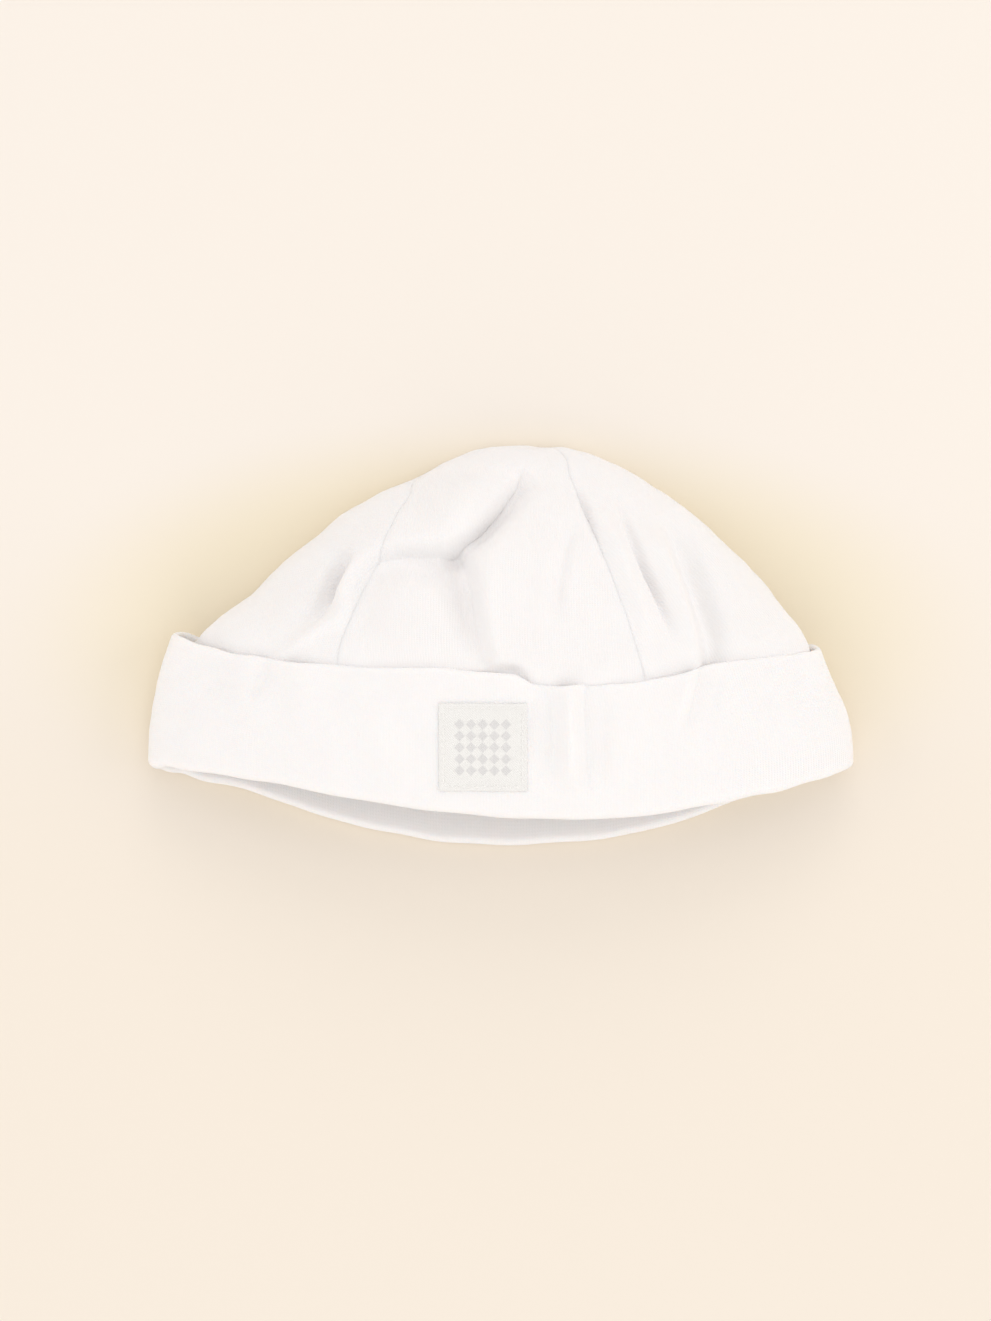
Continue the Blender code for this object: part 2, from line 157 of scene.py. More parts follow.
def section(name, along):
    """A column of the section table, read between its rows."""
    knots = np.linspace(0, 1, len(SECTIONS))
    return smooth(along, knots, column(SECTIONS, SECTION_COLUMNS, name), name == "y")


ALONG_SAMPLES = np.linspace(0, 1, 4001)
Y_SAMPLES = section("y", ALONG_SAMPLES) * HALF_LENGTH


def along_at(y):
    """The place along the cap whose section lies at y."""
    return np.interp(y, Y_SAMPLES, ALONG_SAMPLES)


def lying_cloth(angle, along, inset=0.0):
    """x is the section's middle plus its half width times cos(angle).

    On the front z is the fold's height plus the rise times sin(angle) to a power. On the back z falls
    as a parabola to the flat. An inset makes the same shape that much smaller.
    """
    left = section("left", along) * (CLOTH_HALF_WIDTH - inset)
    right = section("right", along) * (CLOTH_HALF_WIDTH - inset)
    under = section("side", along) * SIDE_FOLD_HEIGHT
    middle = under + section("lift", along) * TURNED_DEPTH
    over = (section("top", along) * CROWN_RISE - middle - inset) * section("open", along)
    under = (under - inset) * section("open", along)
    x = (left + right) / 2 + (right - left) / 2 * np.cos(angle)
    y = section("y", along)
    y = y * HALF_LENGTH - inset * np.clip(y, 0, 1) + 0 * angle
    rise = np.clip(np.sin(angle), 0, 1) ** TOP_FULLNESS
    fall = np.clip(-np.sin(angle) / FLAT_FROM, 0, 1)
    z = middle + np.where(np.sin(angle) >= 0, over * rise, under * ((1 - fall) ** 2 - 1))
    return np.stack([x, y, z], axis=-1)


def outward(angle, along):
    """The lying cloth's outward direction: the cross product of small steps in both parameters."""
    along = np.clip(along, LOOK_STEP, POLE_LOOK)
    across = lying_cloth(angle + LOOK_STEP, along) - lying_cloth(angle - LOOK_STEP, along)
    lengthwise = lying_cloth(angle, along + LOOK_STEP) - lying_cloth(angle, along - LOOK_STEP)
    normal = np.cross(lengthwise, across)
    return normal / np.linalg.norm(normal, axis=-1, keepdims=True)


print("the lying cloth is", round(2 * CLOTH_HALF_WIDTH / MM, 1), "mm wide")

# %% [markdown]
# Soft unevenness
#
# Hand-laid jersey is never quite even. A handful of sine waves in seeded directions, added up, gives
# a soft random height that is the same on every run, and it needs no texture.

# %% Random ripples
WAVES = 14
WAVELENGTH_SPREAD = (0.75, 1.4)


def ripple(points, wavelength, seed):
    """A soft random height, mostly from -1 to 1: plane sine waves of about one wavelength added up."""
    random = np.random.default_rng(seed)
    direction = random.normal(size=(WAVES, 3))
    direction /= np.linalg.norm(direction, axis=1, keepdims=True)
    length = wavelength * random.uniform(*WAVELENGTH_SPREAD, (WAVES, 1))
    phase = random.uniform(0, 2 * np.pi, WAVES)
    waves = np.sin(2 * np.pi * points @ (direction / length).T + phase)
    return waves.sum(axis=-1) / np.sqrt(WAVES)


# %% [markdown]
# Folds
#
# The cap was laid down empty, so its crown fell into folds. Each one is a path seen from above, with
# a depth at each of its points. Cloth falls off steeply on one side of such a fold and softly on the
# other. On the steep side it can lean over the hollow, and beside it the hollow can have a flat floor.
# All depths add up, so folds can cross. A fold with a negative depth is a ridge. Places are shares of
# half the cap's width and length. Widths, floors and depths are in millimetres.

# %% Table of the crown's folds
FOLD_COLUMNS = ("name", "left_width", "floor", "right_width", "lean", "path")
CROWN_FOLDS = (
    ("shelf edge", 1.6, 1.4, 5.4, 0.3, (
        (-0.440, -0.040, 0.0), (-0.420, 0.110, 0.9), (-0.410, 0.230, 1.8), (-0.398, 0.340, 2.6),
        (-0.355, 0.420, 3.3), (-0.285, 0.460, 4.1), (-0.205, 0.470, 4.4), (-0.135, 0.490, 2.0),
        (-0.100, 0.520, 0.0))),
    ("big diagonal", 1.2, 1.2, 3.2, 1.0, (
        (-0.175, 0.450, 0.0), (-0.142, 0.495, 3.4), (-0.088, 0.570, 5.8), (-0.032, 0.672, 6.2),
        (0.014, 0.760, 5.0), (0.042, 0.818, 3.4), (0.068, 0.880, 0.0))),
    ("middle valley", 2.5, 0.6, 6.2, 0.1, (
        (-0.150, 0.540, 0.0), (-0.118, 0.450, 4.3), (-0.094, 0.330, 6.1), (-0.084, 0.200, 6.1),
        (-0.072, 0.080, 5.4), (-0.056, -0.040, 3.4), (-0.050, -0.120, 0.6))),
    ("left deep fold", 1.2, 0.8, 2.4, 1.0, (
        (-0.426, 0.480, 0.0), (-0.444, 0.390, 4.3), (-0.466, 0.290, 5.2), (-0.488, 0.200, 3.0),
        (-0.530, 0.100, 0.6), (-0.600, 0.000, 0.3), (-0.640, -0.060, 0.5))),
    ("right deep fold", 1.1, 0.2, 1.5, 0.8, (
        (0.475, 0.020, 0.0), (0.457, 0.125, 1.4), (0.434, 0.225, 2.5), (0.402, 0.350, 2.6),
        (0.370, 0.490, 1.9), (0.345, 0.625, 1.1), (0.318, 0.765, 0.0))),
    ("right side fold", 2.3, 0.6, 3.6, 0.1, (
        (0.566, -0.190, 1.6), (0.577, -0.040, 3.1), (0.571, 0.105, 4.3), (0.552, 0.250, 4.4),
        (0.526, 0.385, 3.5), (0.492, 0.540, 2.0), (0.456, 0.660, 0.0))),
    ("pinch on the right seam", 1.0, 0.0, 1.2, 0.0, (
        (0.210, 0.820, 0.0), (0.244, 0.672, 1.8), (0.276, 0.520, 0.7), (0.320, 0.330, 0.4),
        (0.372, 0.060, 0.3), (0.392, -0.150, 0.3))),
    ("faint fold", 1.6, 0.0, 2.8, 0.0, (
        (0.214, 0.640, 0.0), (0.182, 0.470, 1.4), (0.165, 0.280, 1.4), (0.163, 0.080, 0.0))),
    ("soft hollow in the middle", 5.0, 0.0, 6.0, 0.0, (
        (0.030, 0.330, 0.0), (0.040, 0.200, 0.8), (0.050, 0.080, 1.2), (0.025, -0.100, 0.4))),
    ("soft hollow over the cuff", 6.0, 0.0, 6.0, 0.0, (
        (0.150, -0.040, 0.0), (0.220, -0.040, 1.0), (0.300, -0.060, 0.0))),
    ("hollow at the cuff", 1.1, 0.0, 1.5, 0.0, (
        (-0.060, -0.112, 0.0), (0.000, -0.117, 0.4), (0.040, -0.124, 0.6), (0.080, -0.136, 0.0))),
    ("small hollow at the cuff", 1.0, 0.0, 1.3, 0.0, (
        (0.150, -0.185, 0.0), (0.195, -0.190, 0.1), (0.240, -0.185, 0.0))),
    ("ridge over the shelf", 6.0, 0.0, 3.4, 0.0, (
        (-0.430, 0.460, 0.0), (-0.330, 0.540, -0.8), (-0.200, 0.570, -1.3), (-0.110, 0.680, -2.0),
        (-0.040, 0.820, -0.8), (0.000, 0.900, 0.0))),
    ("ridge beside the diagonal", 4.0, 0.0, 4.0, 0.0, (
        (0.070, 0.640, 0.0), (0.010, 0.520, -1.0), (-0.030, 0.400, -1.7), (-0.032, 0.280, -1.7),
        (-0.020, 0.120, -0.9), (0.000, -0.020, 0.0))),
    ("ridge by the faint fold", 2.4, 0.0, 3.0, 0.0, (
        (0.175, 0.560, 0.0), (0.140, 0.420, -0.7), (0.125, 0.200, -0.7), (0.130, 0.050, 0.0))),
    ("left ridge", 1.6, 0.0, 2.2, 0.0, (
        (-0.400, 0.440, 0.0), (-0.422, 0.300, -1.1), (-0.440, 0.160, -1.3), (-0.520, 0.050, -1.3),
        (-0.600, -0.060, -0.4))),
    ("first right ridge", 1.9, 0.0, 1.9, 0.0, (
        (0.270, 0.680, 0.0), (0.315, 0.520, -1.2), (0.357, 0.330, -1.5), (0.402, 0.140, -1.3),
        (0.425, 0.000, 0.0))),
    ("second right ridge", 2.4, 0.0, 2.4, 0.0, (
        (0.390, 0.620, 0.0), (0.450, 0.470, -1.0), (0.502, 0.260, -1.3), (0.528, 0.060, -1.3),
        (0.532, -0.080, -0.8))),
)

# %% How a fold moves the cloth
PATH_PIECES = 48


def fold_path(rows):
    """The fold's path as (x, y, depth) in metres, on a smooth curve through the table's points."""
    rows = np.array(rows) * (HALF_WIDTH, HALF_LENGTH, MM)
    run = np.concatenate([[0], np.cumsum(np.linalg.norm(np.diff(rows[:, :2], axis=0), axis=1))])
    at = np.linspace(0, run[-1], PATH_PIECES + 1)
    return np.stack([smooth(at, run, rows[:, k]) for k in range(3)], axis=-1)


def fold_shift(points, folds):
    """How deep the folds sink each point, and how far they push it sideways, both in metres.

    With d the distance to the path in plan, less the floor on the right side, the sink is
    depth * exp(-(d / width) ** 2), where the width is that of the point's side. On the left side the
    cloth also leans across the path by lean * width * (d / width) * exp(1 - d / width), as a share of
    how deep the fold is there.
    """
    sink = np.zeros(points.shape[:-1])
    push = np.zeros(points.shape[:-1] + (2,))
    for row in folds:
        fold = dict(zip(FOLD_COLUMNS, row))
        path = fold_path(fold["path"])
        deepest = np.abs(path[:, 2]).max()
        start = path[:-1, :2]
        step = np.diff(path[:, :2], axis=0)
        offset = points[..., None, :2] - start
        place = np.clip((offset * step).sum(-1) / (step * step).sum(-1), 0, 1)
        away = offset - place[..., None] * step
        nearest = np.argmin((away * away).sum(-1), axis=-1)
        away = np.take_along_axis(away, nearest[..., None, None], axis=-2)[..., 0, :]
        place = np.take_along_axis(place, nearest[..., None], axis=-1)[..., 0]
        depth = path[nearest, 2] * (1 - place) + path[nearest + 1, 2] * place
        run = step[nearest] / np.linalg.norm(step[nearest], axis=-1, keepdims=True)
        on_left = run[..., 0] * away[..., 1] - run[..., 1] * away[..., 0] > 0
        width = np.where(on_left, fold["left_width"], fold["right_width"]) * MM
        distance = np.linalg.norm(away, axis=-1)
        reach = np.maximum(distance - np.where(on_left, 0, fold["floor"] * MM), 0) / width
        sink += depth * np.exp(-(reach**2))
        lean = on_left * fold["lean"] * width * reach * np.exp(1 - reach) * depth / deepest
        push += lean[..., None] * np.stack([run[..., 1], -run[..., 0]], axis=-1)
    return sink, push


print(len(CROWN_FOLDS), "folds and ridges on the crown")

# %% [markdown]
# The cuff's lines
#
# The cuff goes all the way round, so its lip, height and flare are read from a table of turns: 0 is
# the right side fold, 0.25 the middle of the front, 0.5 the left side fold and 0.75 the back. On the
# front its free edge steps down a little, and beside that step and far left it is lifted a little.

# %% Table of the cuff round its loop
CUFF_COLUMNS = ("turn", "lip", "height", "flare")
CUFF_LINE = (
    (0.0000, -0.615, 0.83, 0.45),
    (0.0625, -0.660, 0.88, 0.40),
    (0.1250, -0.750, 0.93, 0.35),
    (0.1875, -0.840, 0.91, 0.40),
    (0.2500, -0.846, 1.00, 0.40),
    (0.3125, -0.765, 0.95, 0.35),
    (0.3750, -0.665, 0.86, 0.35),
    (0.4375, -0.615, 0.85, 0.80),
    (0.5000, -0.610, 0.86, 1.25),
    (0.5625, -0.650, 0.92, 0.30),
    (0.6250, -0.745, 1.02, 0.00),
    (0.6875, -0.920, 1.22, 0.00),
    (0.7500, -1.000, 1.32, 0.00),
    (0.8125, -0.945, 1.24, 0.00),
    (0.8750, -0.770, 1.05, 0.00),
    (0.9375, -0.665, 0.92, 0.20),
    (1.0000, -0.615, 0.83, 0.45),
)
FLARE_POWER = 1.6
FLARE_GONE = 0.35
FRONT_FLARE = 0.55
SIDE_FLARE = (0.90, 1.00)
EDGE_DROP_COLUMNS = ("across", "drop")
EDGE_DROPS = (
    (-1.00, 0.9), (-0.93, 1.2), (-0.70, 1.3), (-0.55, 1.4), (-0.40, 1.2), (-0.25, 0.5), (-0.12, 0.1),
    (0.045, 0.1), (0.075, 0.9), (0.105, 1.9), (0.16, 1.9), (0.24, 0.8), (0.34, 0.0), (0.50, -0.2),
    (0.75, 0.2), (0.90, 1.2), (1.00, 1.3),
)
EDGE_LIFTS = ((0.030, 0.050, 0.3), (-0.900, 0.060, 0.3))
EDGE_DROP_FADE = 0.10
EDGE_WOBBLE = 0.16 * MM
WOBBLE_LENGTH = 16 * MM
LIP_SEED = 41
EDGE_SEED = 42


def cuff_line(name, angle):
    """A column of the cuff table at each angle around the loop."""
    turn = np.mod(angle / (2 * np.pi), 1.0)
    rows = column(CUFF_LINE, CUFF_COLUMNS, "turn")
    values = column(CUFF_LINE, CUFF_COLUMNS, name)
    knots = np.concatenate([rows[-2:-1] - 1, rows, rows[1:2] + 1])
    return smooth(turn, knots, np.concatenate([values[-2:-1], values, values[1:2]]))


def wobble(angle, seed):
    """A small unevenness of a line round the loop, the same at both ends of the loop."""
    ring = np.stack([np.cos(angle), np.sin(angle), 0 * angle], axis=-1) * HALF_WIDTH
    return EDGE_WOBBLE * ripple(ring, WOBBLE_LENGTH, seed)


def lip_y(angle):
    """The y of the cuff's folded lip."""
    return cuff_line("lip", angle) * HALF_LENGTH


def edge_y(angle):
    """The y of the free edge: the lip plus the height, less its small drops on the front."""
    across = column(EDGE_DROPS, EDGE_DROP_COLUMNS, "across")
    drop = smooth(np.cos(angle), across, column(EDGE_DROPS, EDGE_DROP_COLUMNS, "drop"))
    drop = drop * ease(np.sin(angle), -EDGE_DROP_FADE, EDGE_DROP_FADE)
    return lip_y(angle) + cuff_line("height", angle) * CUFF_HEIGHT - drop * MM


def join_y(angle):
    """The y of the hidden join between the crown and the cuff's inner leg."""
    return lip_y(angle) + cuff_line("height", angle) * CUFF_HEIGHT - JOIN_BELOW_EDGE


print("the cuff's front edge lies at", round(float(edge_y(np.array(np.pi / 2))) / MM, 1), "mm")

# %% [markdown]
# The crown's face
#
# Along the cuff the crown swells a little, because the cuff holds it in. The folds sink it from
# there up, and the seams draw it in: a V groove with small puckers beside it. Towards the apex all of
# this fades, so that the four panels close in one point.

# %% The crown's shift from the plain lying cloth
SWELL = 2.2 * MM
SWELL_REACH = 7.0 * MM
FOLDS_START = (-7.0 * MM, -1.0 * MM)
JOIN_FADE = 5.0 * MM
FRONT_STARTS = 0.05
FRONT_FULL = 0.45
CROWN_RIPPLES = ((0.35 * MM, 26 * MM, 11), (0.14 * MM, 10 * MM, 12), (0.05 * MM, 4 * MM, 13))
SEAM_DEPTH = 0.50 * MM
SEAM_WIDTH = 0.9 * MM
PUCKER_DEPTH = 0.16 * MM
PUCKER_LENGTH = 5.0 * MM
PUCKER_SEED = 21
PUCKER_REACH = 3.5 * MM
SEAM_PLAIN = {
    "right_front": ((-0.20, 0.5), (0.10, 0.5), (0.40, 0.7), (0.70, 1.0), (1.00, 0.8)),
    "left_front": ((-0.20, 0.0), (0.36, 0.0), (0.56, 0.5), (0.80, 0.7), (1.00, 0.6)),
    "left_back": ((-0.20, 1.0), (1.00, 1.0)),
    "right_back": ((-0.20, 1.0), (1.00, 1.0)),
}
APEX_FADE = (0.93, 0.998)
FLOOR_CLEARANCE = 0.02 * MM


def seam_plain(name, y):
    """How plainly a seam shows at each y, from 0 to 1: straight lines between the table's points."""
    shares, strengths = np.array(SEAM_PLAIN[name]).T
    return np.interp(y / HALF_LENGTH, shares, strengths)


def crown_shift(angle, along, seams):
    """How far each point of the crown moves from the lying cloth, as vectors.

    Along the outward direction: swell, less the folds' sink on the front, plus ripples, less a groove
    and puckers for each (name, distance) pair of seams. In plan the folds' lean is added. At the
    hidden join the crown isn't free to move, so it meets the cuff's inner leg there.
    """
    points = lying_cloth(angle, along)
    normal = outward(angle, along)
    above = points[..., 1] - edge_y(angle)
    front = ease(normal[..., 2], FRONT_STARTS, FRONT_FULL)
    sink, push = fold_shift(points, CROWN_FOLDS)
    folded = front * ease(above, *FOLDS_START)
    swell = SWELL * np.exp(-(((above - SWELL_REACH / 2) / SWELL_REACH) ** 2)) * front
    uneven = sum(depth * ripple(points, length, seed) for depth, length, seed in CROWN_RIPPLES)
    free = ease(points[..., 1] - join_y(angle), 0, JOIN_FADE)
    out = swell - sink * folded + uneven * free
    puckers = PUCKER_DEPTH * ripple(points, PUCKER_LENGTH, PUCKER_SEED)
    for name, distance in seams:
        plain = seam_plain(name, points[..., 1]) * free
        out -= plain * SEAM_DEPTH * np.exp(-distance / SEAM_WIDTH)
        out += plain * puckers * np.exp(-distance / PUCKER_REACH)
    fade = 1 - ease(along, *APEX_FADE)
    shift = normal * (out * fade)[..., None]
    shift[..., :2] += push * (folded * fade)[..., None]
    return shift


# %% [markdown]
# From a grid of points to a mesh
#
# Each cloth piece is a closed wall: an outer and an inner face of the same grid, joined by a rim. All
# faces come from index arrays, and the knit's UV map is laid in metres, so that the stitches keep
# their size on every piece.

# %% Mesh helpers
KNIT_UV = "knit"
SHARP_ANGLE = math.radians(55)
SAME_PLACE = 1e-7


def grid_quads(index):
    """The corners of every quad of a grid of vertex numbers."""
    return np.stack([index[:-1, :-1], index[:-1, 1:], index[1:, 1:], index[1:, :-1]], axis=-1).reshape(-1, 4)


def facing_out(points, quads):
    """The quads, turned round if the closed shape they make would be inside out."""
    corners = points[quads]
    first = np.cross(corners[:, 1] - corners[:, 0], corners[:, 2] - corners[:, 0])
    second = np.cross(corners[:, 2] - corners[:, 0], corners[:, 3] - corners[:, 0])
    volume = ((first + second) * corners[:, 0]).sum()
    return quads if volume > 0 else quads[:, ::-1]


def cloth_body(name, points, quads, corner_uv, material, attributes=()):
    """A smooth mesh object at the origin, from points, quads and a UV pair for each quad's corner."""
    turned = facing_out(points, quads)
    if turned is not quads:
        corner_uv = corner_uv[:, ::-1]
    mesh = bpy.data.meshes.new(name)
    mesh.from_pydata(points.tolist(), [], turned.tolist())
    layer = mesh.uv_layers.new(name=KNIT_UV)
    layer.data.foreach_set("uv", corner_uv.astype(np.float32).ravel())
    for label, values in attributes:
        attribute = mesh.attributes.new(label, "FLOAT", "POINT")
        attribute.data.foreach_set("value", values.astype(np.float32).ravel())
    work = bmesh.new()
    work.from_mesh(mesh)
    bmesh.ops.remove_doubles(work, verts=work.verts, dist=SAME_PLACE)
    for edge in work.edges:
        edge.smooth = edge.calc_face_angle(0) < SHARP_ANGLE
    work.to_mesh(mesh)
    work.free()
    mesh.shade_smooth()
    mesh.materials.append(material)
    obj = bpy.data.objects.new(name, mesh)
    bpy.context.scene.collection.objects.link(obj)
    print(name, len(mesh.polygons), "faces")
    return obj


def wall_body(name, outer, inner, uv, material, attributes=()):
    """A closed wall between two grids of the same size, with one UV pair for each grid point."""
    index = np.arange(outer[..., 0].size).reshape(outer.shape[:2])
    under = index + index.size
    rim = np.concatenate([index[:, 0], index[-1, 1:], index[-2::-1, -1], index[0, -2:0:-1]])
    ahead = np.roll(rim, -1)
    side = np.stack([rim, ahead, ahead + index.size, rim + index.size], axis=-1)
    quads = np.concatenate([grid_quads(index), grid_quads(under)[:, ::-1], side])
    points = np.concatenate([outer.reshape(-1, 3), inner.reshape(-1, 3)])
    corner_uv = np.concatenate([uv.reshape(-1, 2), uv.reshape(-1, 2)])[quads]
    doubled = [(label, np.concatenate([values.ravel()] * 2)) for label, values in attributes]
    return cloth_body(name, points, quads, corner_uv, material, doubled)


def spread_by_length(run, count):
    """count + 1 places from 0 to 1 that divide a running length evenly."""
    return np.interp(np.linspace(0, run[-1], count + 1), run, np.linspace(0, 1, len(run)))


def running_length(points, weight=1.0):
    """The length run through along the last grid axis, each step times its weight."""
    steps = np.linalg.norm(np.diff(points, axis=-2), axis=-1) * weight
    return np.concatenate([np.zeros(steps.shape[:-1] + (1,)), np.cumsum(steps, axis=-1)], axis=-1)


# %% [markdown]
# Finishes
#
# Close up, jersey is rows of small V stitches in upright columns. A weave this fine would take
# millions of faces, so it is bump: the V is worked out from the UV map with a few math nodes. Cotton
# scatters light at its edges, which the shader's sheen does. A soft mottling keeps it from looking
# like plaster, and the grooves between the stitches are painted a little darker as shade.

# %% Node helpers
def new_material(name):
    """A material with a Principled shader, and its node tree."""
    material = bpy.data.materials.new(name)
    material.use_nodes = True
    return material, material.node_tree, material.node_tree.nodes["Principled BSDF"]


def feed(tree, socket, value):
    """Gives a node's input a plain value, or links another node's output to it."""
    if isinstance(value, bpy.types.NodeSocket):
        tree.links.new(value, socket)
    else:
        socket.default_value = value


def feed_all(tree, node, inputs):
    """Feeds several of a node's inputs, by name."""
    for name, value in inputs.items():
        feed(tree, node.inputs[name], value)


def maths(tree, operation, *inputs):
    """One math node. Each input is a number or another node's output."""
    node = tree.nodes.new("ShaderNodeMath")
    node.operation = operation
    for socket, value in zip(node.inputs, inputs):
        feed(tree, socket, value)
    return node.outputs[0]


def vector_maths(tree, operation, *inputs):
    """One vector math node. Each input is three numbers or another node's output."""
    node = tree.nodes.new("ShaderNodeVectorMath")
    node.operation = operation
    for socket, value in zip(node.inputs, inputs):
        feed(tree, socket, value)
    return node.outputs["Value" if operation == "LENGTH" else "Vector"]


def noise(tree, coordinates, scale, detail=3.0):
    """A noise texture's value on the given coordinates."""
    node = tree.nodes.new("ShaderNodeTexNoise")
    feed_all(tree, node, {"Vector": coordinates, "Scale": scale, "Detail": detail})
    return node.outputs["Fac"]


def bump(tree, height, distance, base=None):
    """A bump node that raises height by distance, on top of another bump's normal."""
    node = tree.nodes.new("ShaderNodeBump")
    feed_all(tree, node, {"Height": height, "Distance": distance})
    if base is not None:
        feed(tree, node.inputs["Normal"], base)
    return node.outputs["Normal"]


def blend_colours(tree, factor, low, high):
    """A colour between two, chosen by the factor. Each is three numbers or another node's output."""
    node = tree.nodes.new("ShaderNodeMix")
    node.data_type = "RGBA"
    feed(tree, node.inputs["Factor"], factor)
    for name, colour in (("A", low), ("B", high)):
        feed(tree, node.inputs[name], (*colour, 1) if isinstance(colour, tuple) else colour)
    return node.outputs["Result"]


def uv_places(tree):
    """The two coordinates of the piece's UV map, in metres."""
    uv = tree.nodes.new("ShaderNodeUVMap")
    uv.uv_map = KNIT_UV
    parts = tree.nodes.new("ShaderNodeSeparateXYZ")
    tree.links.new(uv.outputs["UV"], parts.inputs[0])
    return parts.outputs["X"], parts.outputs["Y"]


# %% Jersey
COTTON_ROUGHNESS = 0.92
COTTON_SHEEN = 0.25
SHEEN_ROUGHNESS = 0.45
STITCH_RAISE = 0.05 * MM
FUZZ_RAISE = 0.03 * MM
FUZZ_SCALE = 1900
MOTTLE_SCALE = 110
THROUGH_REACH = 1.2 * MM
THROUGH_COLOURS = (1.0, 0.85, 0.75)
COTTON_SHINE = 0.25
ROW_LEVEL = 0.7
ROW_SWING = 0.3
# How much darker the grooves between the stitches are painted, as shade.
STITCH_PAINTED_SHADE = 0.45
MOTTLE_TONE = 0.75


def jersey(name, light, shade, wale, course, through):
    """Knitted cotton. The stitch height is a round column, |sin(pi a)|, times a V-shaped row,
    cos(2 pi (b + |a - middle|)), where a counts the wales across and b the courses up. The share
    through of the light goes into the cloth and comes out about a millimetre away.
    """
    material, tree, shader = new_material(name)
    place_across, place_up = uv_places(tree)
    across = maths(tree, "MULTIPLY", place_across, 1 / wale)
    up = maths(tree, "MULTIPLY", place_up, 1 / course)
    column_round = maths(tree, "ABSOLUTE", maths(tree, "SINE", maths(tree, "MULTIPLY", across, math.pi)))
    from_middle = maths(tree, "ABSOLUTE", maths(tree, "SUBTRACT", maths(tree, "FRACT", across), 0.5))
    turn = maths(tree, "MULTIPLY", maths(tree, "ADD", up, from_middle), 2 * math.pi)
    leg = maths(tree, "MULTIPLY_ADD", maths(tree, "COSINE", turn), ROW_SWING, ROW_LEVEL)
    stitch = maths(tree, "MULTIPLY", column_round, leg)
    place = tree.nodes.new("ShaderNodeTexCoord").outputs["Object"]
    fuzz = noise(tree, place, FUZZ_SCALE)
    mottle = noise(tree, place, MOTTLE_SCALE)
    normal = bump(tree, fuzz, FUZZ_RAISE, bump(tree, stitch, STITCH_RAISE))
    # The colour darkens in the stitches' grooves, a painted shade, and also varies with a random mottle.
    groove_shade_and_mottle = maths(tree, "MULTIPLY_ADD", stitch, STITCH_PAINTED_SHADE, maths(tree, "MULTIPLY", mottle, MOTTLE_TONE))
    feed_all(tree, shader, {
        "Base Color": blend_colours(tree, groove_shade_and_mottle, shade, light),
        "Normal": normal,
        "Subsurface Weight": through,
        "Subsurface Radius": THROUGH_COLOURS,
        "Subsurface Scale": THROUGH_REACH,
        "Roughness": COTTON_ROUGHNESS,
        "Sheen Weight": COTTON_SHEEN,
        "Sheen Roughness": SHEEN_ROUGHNESS,
        "Specular IOR Level": COTTON_SHINE,
    })
    return material


# The lit end and the painted-shade end of each knit's colour: the stitch grooves and the mottle move between
# them.
CROWN_COLOURS = ((0.915, 0.894, 0.892), (0.878, 0.857, 0.855))
CUFF_COLOURS = ((0.922, 0.900, 0.898), (0.886, 0.864, 0.862))
crown_knit = jersey("crown_knit", *CROWN_COLOURS, wale=0.62 * MM, course=0.50 * MM, through=0.25)
cuff_knit = jersey("cuff_knit", *CUFF_COLOURS, wale=0.70 * MM, course=0.56 * MM, through=0.5)
print("jersey finishes:", crown_knit.name, cuff_knit.name)

# %% [markdown]
# The crown's panels
#
# The real crown is cut in panels, and their seams run up from the cuff and meet at the apex. Each
# panel is the strip of the lying cloth between two seam lines, worked out on its own grid. The grid
# is closer on the front, where the folds are.

# %% Table of the crown's seams and the panel maker
SEAM_COLUMNS = ("along", "right_front", "left_front", "left_back", "right_back")
SEAMS = (
    (0.000, 0.350, 0.667, 1.32, 1.68),
    (0.360, 0.356, 0.674, 1.32, 1.68),
    (0.500, 0.370, 0.702, 1.32, 1.68),
    (0.640, 0.372, 0.740, 1.32, 1.68),
    (0.710, 0.370, 0.800, 1.32, 1.68),
    (0.785, 0.366, 0.985, 1.34, 1.68),
    (0.857, 0.300, 1.050, 1.36, 1.70),
    (0.930, 0.190, 1.060, 1.38, 1.73),
    (1.000, 0.100, 1.060, 1.40, 1.75),
)
SEAM_COLUMN_NAMES = SEAM_COLUMNS[1:]
BACK_WEIGHT = 0.45
PANEL_LOOKS = 400
PANEL_ROWS = 180
FIRST_LOOK_ALONG = 0.35
JOIN_LOOKS = 4


def seam(name, along):
    """The angle of one crown seam at each place along the cap."""
    knots = column(SEAMS, SEAM_COLUMNS, "along")
    return np.pi * smooth(along, knots, column(SEAMS, SEAM_COLUMNS, name))


def panel_angles(first, last, along, share):
    """Angles between two seams at each place along, at the given shares of the way."""
    wraps = SEAM_COLUMN_NAMES.index(last) < SEAM_COLUMN_NAMES.index(first)
    begin = seam(first, along)
    end = seam(last, along) + 2 * np.pi * wraps
    return begin + (end - begin) * share


def panel_shares(first, last, columns):
    """Where the panel's columns lie: evenly by length, and closer together on the front."""
    share = np.linspace(0, 1, PANEL_LOOKS)
    along = along_at(np.array(0.0)) + 0 * share
    angle = panel_angles(first, last, along, share)
    weight = np.where(np.sin(angle[1:]) > 0, 1.0, BACK_WEIGHT)
    return spread_by_length(running_length(lying_cloth(angle, along), weight), columns)


